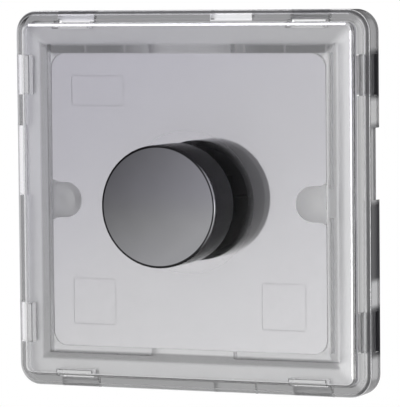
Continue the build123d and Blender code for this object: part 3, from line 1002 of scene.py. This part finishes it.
def close(shape: Shape) -> None:
    """Merges the points of a shell that meet, and turns its faces outwards."""
    bmesh.ops.remove_doubles(shape, verts=shape.verts, dist=MERGE)
    bmesh.ops.recalc_face_normals(shape, faces=shape.faces)


def quarter(start: float, reach: float, level: float, rise: float, steps: int) -> list[Span]:
    """Rounds the edge of a section from its side to its face.

    Args:
        start: Radius at which the face begins.
        reach: Width of the rounding.
        level: Depth of the face.
        rise: Depth of the rounding.
        steps: Number of its parts.

    Returns:
        Radius and depth of its points.
    """
    turns = [0.5 * math.pi * index / steps for index in range(steps + 1)]
    return [(start + reach * math.cos(turn), level + rise * (1 - math.sin(turn))) for turn in turns]


def spun(section: list[Span], steps: int) -> Shape:
    """Spins a section about the knob's axis into a closed shape.

    Args:
        section: Radius and depth of its corners, from the axis round to the axis again.
        steps: Number of sides.

    Returns:
        The closed shape, its faces turned outwards.
    """
    shape = bmesh.new()
    corners = [shape.verts.new((reach, depth, 0.0)) for reach, depth in section]
    edges = [shape.edges.new(pair) for pair in zip(corners, corners[1:])]
    bmesh.ops.spin(
        shape,
        geom=corners + edges,
        cent=(0.0, 0.0, 0.0),
        axis=AXIS,
        angle=math.tau,
        steps=steps,
        use_merge=True,
    )
    close(shape)
    return shape


def sink(
    shape: Shape,
    cuts: list[tuple[Vector, Vector]],
    chosen: Callable[[Vector], bool],
    down: Vector,
) -> None:
    """Sinks a recess into a flat face.

    Args:
        shape: The mesh.
        cuts: Point and normal of each plane that outlines the recess.
        chosen: Says of a face's middle whether the face lies in the recess.
        down: How far and which way its floor goes.
    """
    for point, normal in cuts:
        whole = everything(shape)
        bmesh.ops.bisect_plane(shape, geom=whole, dist=CUT_TOLERANCE, plane_co=point, plane_no=normal)
    away = -down.normalized()
    facing = [face for face in shape.faces if face.normal.dot(away) > FACING]
    floor = [face for face in facing if chosen(face.calc_center_median())]
    made = bmesh.ops.extrude_face_region(shape, geom=floor)["geom"]
    left = [face for face in floor if face.is_valid]
    bmesh.ops.delete(shape, geom=left, context="FACES_ONLY")
    bmesh.ops.translate(shape, verts=points(made), vec=down)


def new_piece(name: str, shape: Shape, sharp: float = SHARP) -> bpy.types.Object:
    """Makes an object of a bmesh, smooth but for its sharp edges.

    Args:
        name: The piece's name.
        shape: Its mesh, which is freed.
        sharp: Angle in degrees from which an edge stays sharp.

    Returns:
        The object, linked to the scene.
    """
    limit = math.radians(sharp)
    for face in shape.faces:
        face.smooth = True
    for edge in shape.edges:
        edge.smooth = len(edge.link_faces) == 2 and edge.calc_face_angle(0.0) < limit
    mesh = bpy.data.meshes.new(name)
    shape.to_mesh(mesh)
    shape.free()
    piece = bpy.data.objects.new(name, mesh)
    bpy.context.scene.collection.objects.link(piece)
    return piece


@dataclass
class Fitting:
    """How a new piece stands for a CAD node."""

    node: str
    form: str
    finish: Finish
    slot: str
    body: Body = Body.BASE
    sharp: float = SHARP

    def fit(self, shape: Shape) -> bpy.types.Object:
        """Makes the piece, dresses it and lets it ride in the place of its node.

        Args:
            shape: The piece's mesh, which is freed.

        Returns:
            The piece.
        """
        piece = new_piece(f"{self.node}_{self.form}", shape, self.sharp)
        self.finish.dress(piece)
        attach(piece, self.body.value)
        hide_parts(self.node)
        LOG.info("%s stands for %s on %s", piece.name, self.node, self.body.value)
        return piece


def dress_nodes(finishes: dict[str, Finish]) -> None:
    """Gives CAD nodes that keep their shape a finish each, and reports them.

    Args:
        finishes: The finish of each node, by its name.
    """
    for node, finish in finishes.items():
        finish.dress(frame["nodes"][node])
        LOG.info("%s dressed in %s", node, finish.name)


@dataclass
class ClearPlate:
    """The clear frame, the clear front panel and the bright plate between them."""

    pad_floor: float = 6.6 * MM
    pad_lift: float = 0.12 * MM

    def build(self) -> None:
        """Builds the three plates and dresses them."""
        for node, finish in (("mounting_frame", PALETTE.frame), ("front_plate", PALETTE.panel)):
            Fitting(node, "shell", finish, "clear_plastic").fit(smooth_copy(node))
        Fitting("insert_plate", "shell", PALETTE.insert, "insert_metal").fit(self.insert())

    def insert(self) -> Shape:
        """Copies the bright plate with the floors of its pads lifted.

        Returns:
            The copy.
        """
        shape = smooth_copy("insert_plate")
        floors = [vertex for vertex in shape.verts if abs(vertex.co.y + self.pad_floor) < MERGE]
        bmesh.ops.translate(shape, verts=floors, vec=(0.0, -self.pad_lift, 0.0))
        return shape


@dataclass
class Knob:
    """The black cap, spun about its axis with a slight crown, and what it hides."""

    wall: float = 1.3 * MM
    face: float = 1.5 * MM
    crown: float = 0.8 * MM
    edge: float = 0.45 * MM
    edge_steps: int = 6
    rounds: int = 8
    steps: int = 192
    sharp: float = 25.0

    def build(self) -> None:
        """Builds the cap and dresses the hub, the clip and the spindle."""
        cap = Fitting("knob_cap", "turned", PALETTE.black_nickel, "black_nickel", Body.KNOB, self.sharp)
        cap.fit(self.cap())
        dress_nodes(
            {
                "knob_core": PALETTE.black_plastic,
                "knob_clip": PALETTE.spring_steel,
                "spindle": PALETTE.aluminium,
            }
        )

    def cap(self) -> Shape:
        """Spins the section of the cap.

        Returns:
            The closed cap.
        """
        low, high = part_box("knob_cap")
        radius = (high.x - low.x) / 2
        rim = radius - self.edge
        crest = low.y + self.crown
        inside = crest + self.face
        section = [
            (0.0, inside),
            (radius - self.wall, inside),
            (radius - self.wall, high.y),
            (radius, high.y),
        ]
        section += quarter(rim, self.edge, crest, self.edge, self.edge_steps)
        for index in range(1, self.rounds + 1):
            share = 1 - index / self.rounds
            section.append((rim * share, low.y + self.crown * share ** 2))
        return spun(section, self.steps)


@dataclass
class Fixings:
    """The nut, its washer, the bush and the screws, with the cuts and edges that the solids leave out."""

    nut_bore: float = 5.05 * MM
    nut_flats: float = 14 * MM
    nut_face: float = 6.8 * MM
    nut_slope: float = math.tan(math.radians(30))
    nut_steps: int = 72
    screw_shank: float = 1.0 * MM
    screw_head: float = 2.4 * MM
    head_height: float = 1.5 * MM
    head_flat: float = 1.55 * MM
    head_round: float = 0.6
    head_rounds: int = 6
    screw_steps: int = 48
    cross: tuple[float, float, float] = (1.3 * MM, 0.28 * MM, 0.75 * MM)
    slot: Span = (0.35 * MM, 0.6 * MM)

    def build(self) -> None:
        """Builds the nut and the screws, and smooths the washer and the bush."""
        shapes = {
            "bush_nut": self.nut(),
            "housing_screws": self.cover_screws(),
            "terminal_screws": self.clamp_screws(),
            "lock_washer": smooth_copy("lock_washer"),
        }
        for node, shape in shapes.items():
            Fitting(node, "cut", PALETTE.zinc, "plated_steel").fit(shape)
        Fitting("control_bush", "cut", PALETTE.brass, "turned_brass").fit(smooth_copy("control_bush"))

    def flat(self, angle: float) -> float:
        """Distance of the nut's hexagon from the axis at an angle."""
        sixth = math.radians(60)
        return 0.5 * self.nut_flats / math.cos(angle % sixth - 0.5 * sixth)

    def nut(self) -> Shape:
        """Builds the hexagon nut ring by ring.

        Returns:
            The nut, its corners turned off on both faces.
        """
        low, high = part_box("bush_nut")
        shape = bmesh.new()
        bmesh.ops.create_circle(
            shape,
            radius=self.nut_bore,
            segments=self.nut_steps,
            matrix=Matrix.Translation((0.0, low.y, 0.0)) @ Matrix.Rotation(math.radians(90), 4, "X"),
        )
        edges = shape.edges[:]
        # A ring with no radius of its own follows the hexagon, and its slope turns the corners off.
        rings: tuple[tuple[Optional[float], float, float], ...] = (
            (self.nut_face, low.y, 0.0),
            (None, low.y, self.nut_slope),
            (None, high.y, -self.nut_slope),
            (self.nut_face, high.y, 0.0),
            (self.nut_bore, high.y, 0.0),
            (self.nut_bore, low.y, 0.0),
        )
        for radius, depth, slope in rings:
            made = bmesh.ops.extrude_edge_only(shape, edges=edges)["geom"]
            edges = [item for item in made if isinstance(item, bmesh.types.BMEdge)]
            for vertex in points(made):
                angle = math.atan2(vertex.co.z, vertex.co.x)
                flat = self.flat(angle)
                reach = flat if radius is None else radius
                place = depth + slope * (flat - self.nut_face)
                vertex.co = (reach * math.cos(angle), place, reach * math.sin(angle))
        close(shape)
        return shape

    def cover_screws(self) -> Shape:
        """Spins a pan-head screw with a cross recess, once for each corner of the cover that has one.

        Returns:
            Both screws in one mesh.
        """
        low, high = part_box("housing_screws")
        seat = high.y - self.head_height
        shank, head = self.screw_shank, self.screw_head
        section = [(0.0, low.y), (shank, low.y), (shank, seat), (head, seat)]
        drop = -self.head_round * self.head_height
        section += quarter(self.head_flat, head - self.head_flat, high.y, drop, self.head_rounds)
        shape = spun(section + [(0.0, high.y)], self.screw_steps)
        reach, half, depth = self.cross
        cuts = []
        for way in (Vector((1.0, 0.0, 0.0)), Vector((0.0, 0.0, 1.0))):
            cuts += [(way * place, way) for place in (-reach, -half, half, reach)]

        def in_cross(middle: Vector) -> bool:
            """True in the arms of the cross on the head."""
            near, far = sorted((abs(middle.x), abs(middle.z)))
            return near < half and far < reach

        sink(shape, cuts, in_cross, Vector((0.0, -depth, 0.0)))
        corner = high.x - head
        bmesh.ops.translate(shape, verts=shape.verts, vec=(-corner, 0.0, corner))
        twin = bmesh.ops.duplicate(shape, geom=everything(shape))["geom"]
        bmesh.ops.translate(shape, verts=points(twin), vec=(2 * corner, 0.0, -2 * corner))
        return shape

    def clamp_screws(self) -> Shape:
        """Cuts a slot across the head of each terminal screw.

        Returns:
            The three screws.
        """
        low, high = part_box("terminal_screws")
        shape = smooth_copy("terminal_screws")
        shape.normal_update()
        half, depth = self.slot
        middle = 0.5 * (low.y + high.y)
        way = Vector(AXIS)

        def in_slot(place: Vector) -> bool:
            """True between the slot's walls on the head."""
            return abs(place.y - middle) < half and place.z < low.z + MERGE

        cuts = [(way * (middle + side), way) for side in (-half, half)]
        sink(shape, cuts, in_slot, Vector((0.0, 0.0, depth)))
        return shape


@dataclass
class Module:
    """The module behind the plate: control, switch, board, terminals, tub and cover."""

    ease: float = 0.3 * MM
    ease_steps: int = 2
    ease_sharp: float = 50.0
    flat_angle: float = 1.0
    coil_radius: float = 3.2 * MM
    coil_wire: float = 0.35 * MM
    coil_turns: int = 4
    coil_steps: int = 24
    coil_sides: int = 10
    coil_sharp: float = 60.0
    coil_seat: float = 15.8 * MM
    coil_slack: float = 0.1 * MM
    wiper_lift: float = 0.03 * MM
    push: float = 2 * MM

    def build(self) -> None:
        """Builds the tub, the cover, the wiper and the spring, and dresses the other nodes."""
        for node in ("module_housing", "module_cover"):
            tub = Fitting(node, "eased", PALETTE.module, "module_plastic", sharp=self.ease_sharp)
            tub.fit(self.eased(node))
        leaf = smooth_copy("wiper_contact")
        bmesh.ops.translate(leaf, verts=leaf.verts, vec=(0.0, -self.wiper_lift, 0.0))
        Fitting("wiper_contact", "leaf", PALETTE.brass, "turned_brass", Body.ROTOR).fit(leaf)
        spring = Fitting(
            "switch_spring", "coil", PALETTE.spring_steel, "spring_steel", sharp=self.coil_sharp
        )
        coil = spring.fit(self.coil())
        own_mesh(coil)
        dress_nodes(
            {
                "control_body": PALETTE.control,
                "resistive_track": PALETTE.track,
                "wiper_rotor": PALETTE.rotor,
                "circuit_board": PALETTE.board,
                "switch_body": PALETTE.control,
                "switch_plunger": PALETTE.rotor,
                "contact_bridge": PALETTE.brass,
                "switch_contacts": PALETTE.brass,
                "power_transistors": PALETTE.transistor,
                "choke_core": PALETTE.ferrite,
                "choke_winding": PALETTE.copper,
                "suppression_capacitor": PALETTE.capacitor,
                "fuse": PALETTE.fuse,
                "terminal_clamps": PALETTE.brass,
            }
        )

    def coil(self) -> Shape:
        """Winds the return spring of the push switch.

        Returns:
            The coil of round wire, closed at both ends.
        """
        low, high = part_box("switch_spring")
        first = low.y + self.coil_wire + self.coil_slack
        rise = high.y - self.coil_wire - first
        steps = self.coil_turns * self.coil_steps
        shape = bmesh.new()
        bmesh.ops.create_circle(
            shape,
            radius=self.coil_wire,
            segments=self.coil_sides,
            matrix=Matrix.Translation((self.coil_radius, first, 0.0)),
        )
        bmesh.ops.spin(
            shape,
            geom=shape.verts[:] + shape.edges[:],
            cent=(0.0, 0.0, 0.0),
            axis=AXIS,
            dvec=(0.0, rise / steps, 0.0),
            angle=math.tau * self.coil_turns,
            steps=steps,
            use_merge=False,
        )
        bmesh.ops.holes_fill(shape, edges=[edge for edge in shape.edges if edge.is_boundary], sides=0)
        bmesh.ops.recalc_face_normals(shape, faces=shape.faces)
        return shape

    def eased(self, node: str) -> Shape:
        """Copies a moulding and rounds its outer edges.

        Args:
            node: The CAD node.

        Returns:
            The copy.
        """
        shape = smooth_copy(node)
        bmesh.ops.dissolve_limit(
            shape,
            angle_limit=math.radians(self.flat_angle),
            verts=shape.verts,
            edges=shape.edges,
            use_dissolve_boundaries=False,
        )
        limit = math.radians(SHARP)
        closed = [edge for edge in shape.edges if len(edge.link_faces) == 2]
        bmesh.ops.bevel(
            shape,
            geom=[edge for edge in closed if edge.calc_face_angle_signed(0.0) > limit],
            offset=self.ease,
            offset_type="OFFSET",
            affect="EDGES",
            segments=self.ease_steps,
            profile=0.5,
            material=-1,
            clamp_overlap=True,
        )
        return shape


def bearing(azimuth: float, elevation: float) -> Vector:
    """Direction from the switch.

    Args:
        azimuth: Angle in degrees round the switch, 0 in front of the knob.
        elevation: Angle in degrees above the level.

    Returns:
        The direction, of length 1.
    """
    turn, rise = math.radians(azimuth), math.radians(elevation)
    flat = math.cos(rise)
    return Vector((math.sin(turn) * flat, -math.cos(turn) * flat, math.sin(rise)))


@dataclass(frozen=True)
class Lamp:
    """Round soft patch of light in the surroundings; its angles are in degrees."""

    azimuth: float
    elevation: float
    inner: float
    outer: float
    level: float

    def shine(self, graph: Graph, way: Socket) -> Socket:
        """Light along a direction.

        Args:
            graph: The node tree.
            way: The direction.

        Returns:
            The full level inside the inner angle, and none outside the outer one.
        """
        near = graph.add(
            "ShaderNodeVectorMath",
            {0: way, 1: bearing(self.azimuth, self.elevation)},
            output="Value",
            operation="DOT_PRODUCT",
        )
        outer, inner = (math.cos(math.radians(angle)) for angle in (self.outer, self.inner))
        return self.level * near.ramp(outer, inner)


@dataclass
class Studio:
    """Floor, soft surroundings and camera."""

    azimuth: float = 22.962
    elevation: float = 3.915
    distance: float = 708.16 * MM
    yaw: float = 22.681
    pitch: float = 3.938
    roll: float = -0.534
    aim_depth: float = -9.3 * MM
    lens: float = 284.19
    sensor: float = 36.0
    clip: Span = (0.01, 50.0)
    floor_height: float = -160 * MM
    floor_radius: float = 420 * MM
    floor_sides: int = 96
    floor_colour: Colour = (0.86, 0.86, 0.86)
    floor_fade: Span = (0.25, 0.95)
    glow: float = 0.88
    glow_aim: Span = (-0.39, -0.07)
    glow_slopes: tuple[float, float, float] = (1.4, -1.1, 1.0)
    glow_limits: Span = (0.4, 1.35)
    card: Span = (0.1, 0.45)
    cool: Colour = (0.95, 0.94, 1.0)
    cool_span: Span = (-0.14, 0.02)
    lamps: tuple[Lamp, ...] = (
        Lamp(azimuth=0.0, elevation=90.0, inner=30.0, outer=50.0, level=1.0),
        Lamp(azimuth=-80.0, elevation=67.0, inner=9.0, outer=15.0, level=5.0),
        Lamp(azimuth=67.0, elevation=-4.0, inner=8.0, outer=14.0, level=5.0),
    )

    def build(self) -> None:
        """Builds the surroundings, the floor and the camera."""
        self.surroundings()
        self.floor()
        self.camera()
        bpy.context.scene.view_settings.view_transform = "Standard"

    def camera(self) -> None:
        """Places the camera at the photograph's viewing angle."""
        data = bpy.data.cameras.new("camera")
        data.sensor_fit = "HORIZONTAL"
        data.sensor_width = self.sensor
        data.lens = self.lens
        data.clip_start, data.clip_end = self.clip
        away = bearing(self.yaw, self.pitch)
        right = (-away).cross(Vector((0.0, 0.0, 1.0))).normalized()
        up = right.cross(-away)
        turn = math.radians(self.roll)
        leaning_right = right * math.cos(turn) + up * math.sin(turn)
        leaning_up = up * math.cos(turn) - right * math.sin(turn)
        columns = Matrix((leaning_right, leaning_up, away)).transposed()
        place = Vector((0.0, self.aim_depth, 0.0)) + bearing(self.azimuth, self.elevation) * self.distance
        eye = bpy.data.objects.new("camera", data)
        eye.matrix_world = Matrix.Translation(place) @ columns.to_4x4()
        bpy.context.scene.collection.objects.link(eye)
        bpy.context.scene.camera = eye

    def surroundings(self) -> None:
        """White card behind, a soft glow in front of the plate, a broad lamp above and two narrow ones."""
        world = bpy.data.worlds.new("studio")
        bpy.context.scene.world = world
        graph = Graph(world)
        way = graph.add("ShaderNodeTexCoord", output="Generated")
        x, y, z = graph.axes(way)
        aim_x, aim_z = self.glow_aim
        rightwards, upwards, below = self.glow_slopes
        glow = self.glow + rightwards * (x - aim_x) + upwards * (z - aim_z)
        glow = glow + below * (aim_z - z).larger(0.0)
        dimmest, brightest = self.glow_limits
        level = glow.smaller(brightest).larger(dimmest)
        for lamp in self.lamps:
            level = level.larger(lamp.shine(graph, way))
        white = y.ramp(*self.card).larger(graph.rays()["Is Camera Ray"])
        cool = graph.mix(z.ramp(*self.cool_span) * (1 - white), WHITE, opaque(self.cool))
        lit = graph.add("ShaderNodeBackground", {"Strength": level.towards(white, 1.0), "Color": cool})
        graph.finish(lit, kind="ShaderNodeOutputWorld")

    def floor(self) -> None:
        """Pale round floor that keeps the shadow and fades into the white around it."""
        shape = bmesh.new()
        bmesh.ops.create_circle(
            shape,
            cap_ends=True,
            radius=self.floor_radius,
            segments=self.floor_sides,
            matrix=Matrix.Translation((0.0, 0.0, self.floor_height)),
        )
        piece = new_piece("floor", shape)
        made = bpy.data.materials.new("pale_floor")
        graph = Graph(made)
        x, y, _ = graph.axes(graph.position())
        radius = x.span(y)
        matt = graph.add("ShaderNodeBsdfDiffuse", {"Color": opaque(self.floor_colour)})
        white = graph.add("ShaderNodeEmission", {"Strength": 1.0})
        rays = graph.rays()
        shown = rays["Is Glossy Ray"].larger(rays["Is Transmission Ray"])
        floor = graph.add("ShaderNodeMixShader", {0: shown, 1: matt, 2: white})
        fade = radius.ramp(*(share * self.floor_radius for share in self.floor_fade))
        gone = graph.add("ShaderNodeBsdfTransparent")
        away = fade * shown.larger(rays["Is Camera Ray"])
        graph.finish(graph.add("ShaderNodeMixShader", {0: away, 1: floor, 2: gone}))
        piece.data.materials.append(made)


def main() -> None:
    """Builds the switch piece by piece, then the studio."""
    logging.basicConfig(level=logging.INFO, format="%(name)s: %(message)s")
    ClearPlate().build()
    Knob().build()
    Fixings().build()
    Module().build()
    Studio().build()


if __name__ == "__main__":
    main()
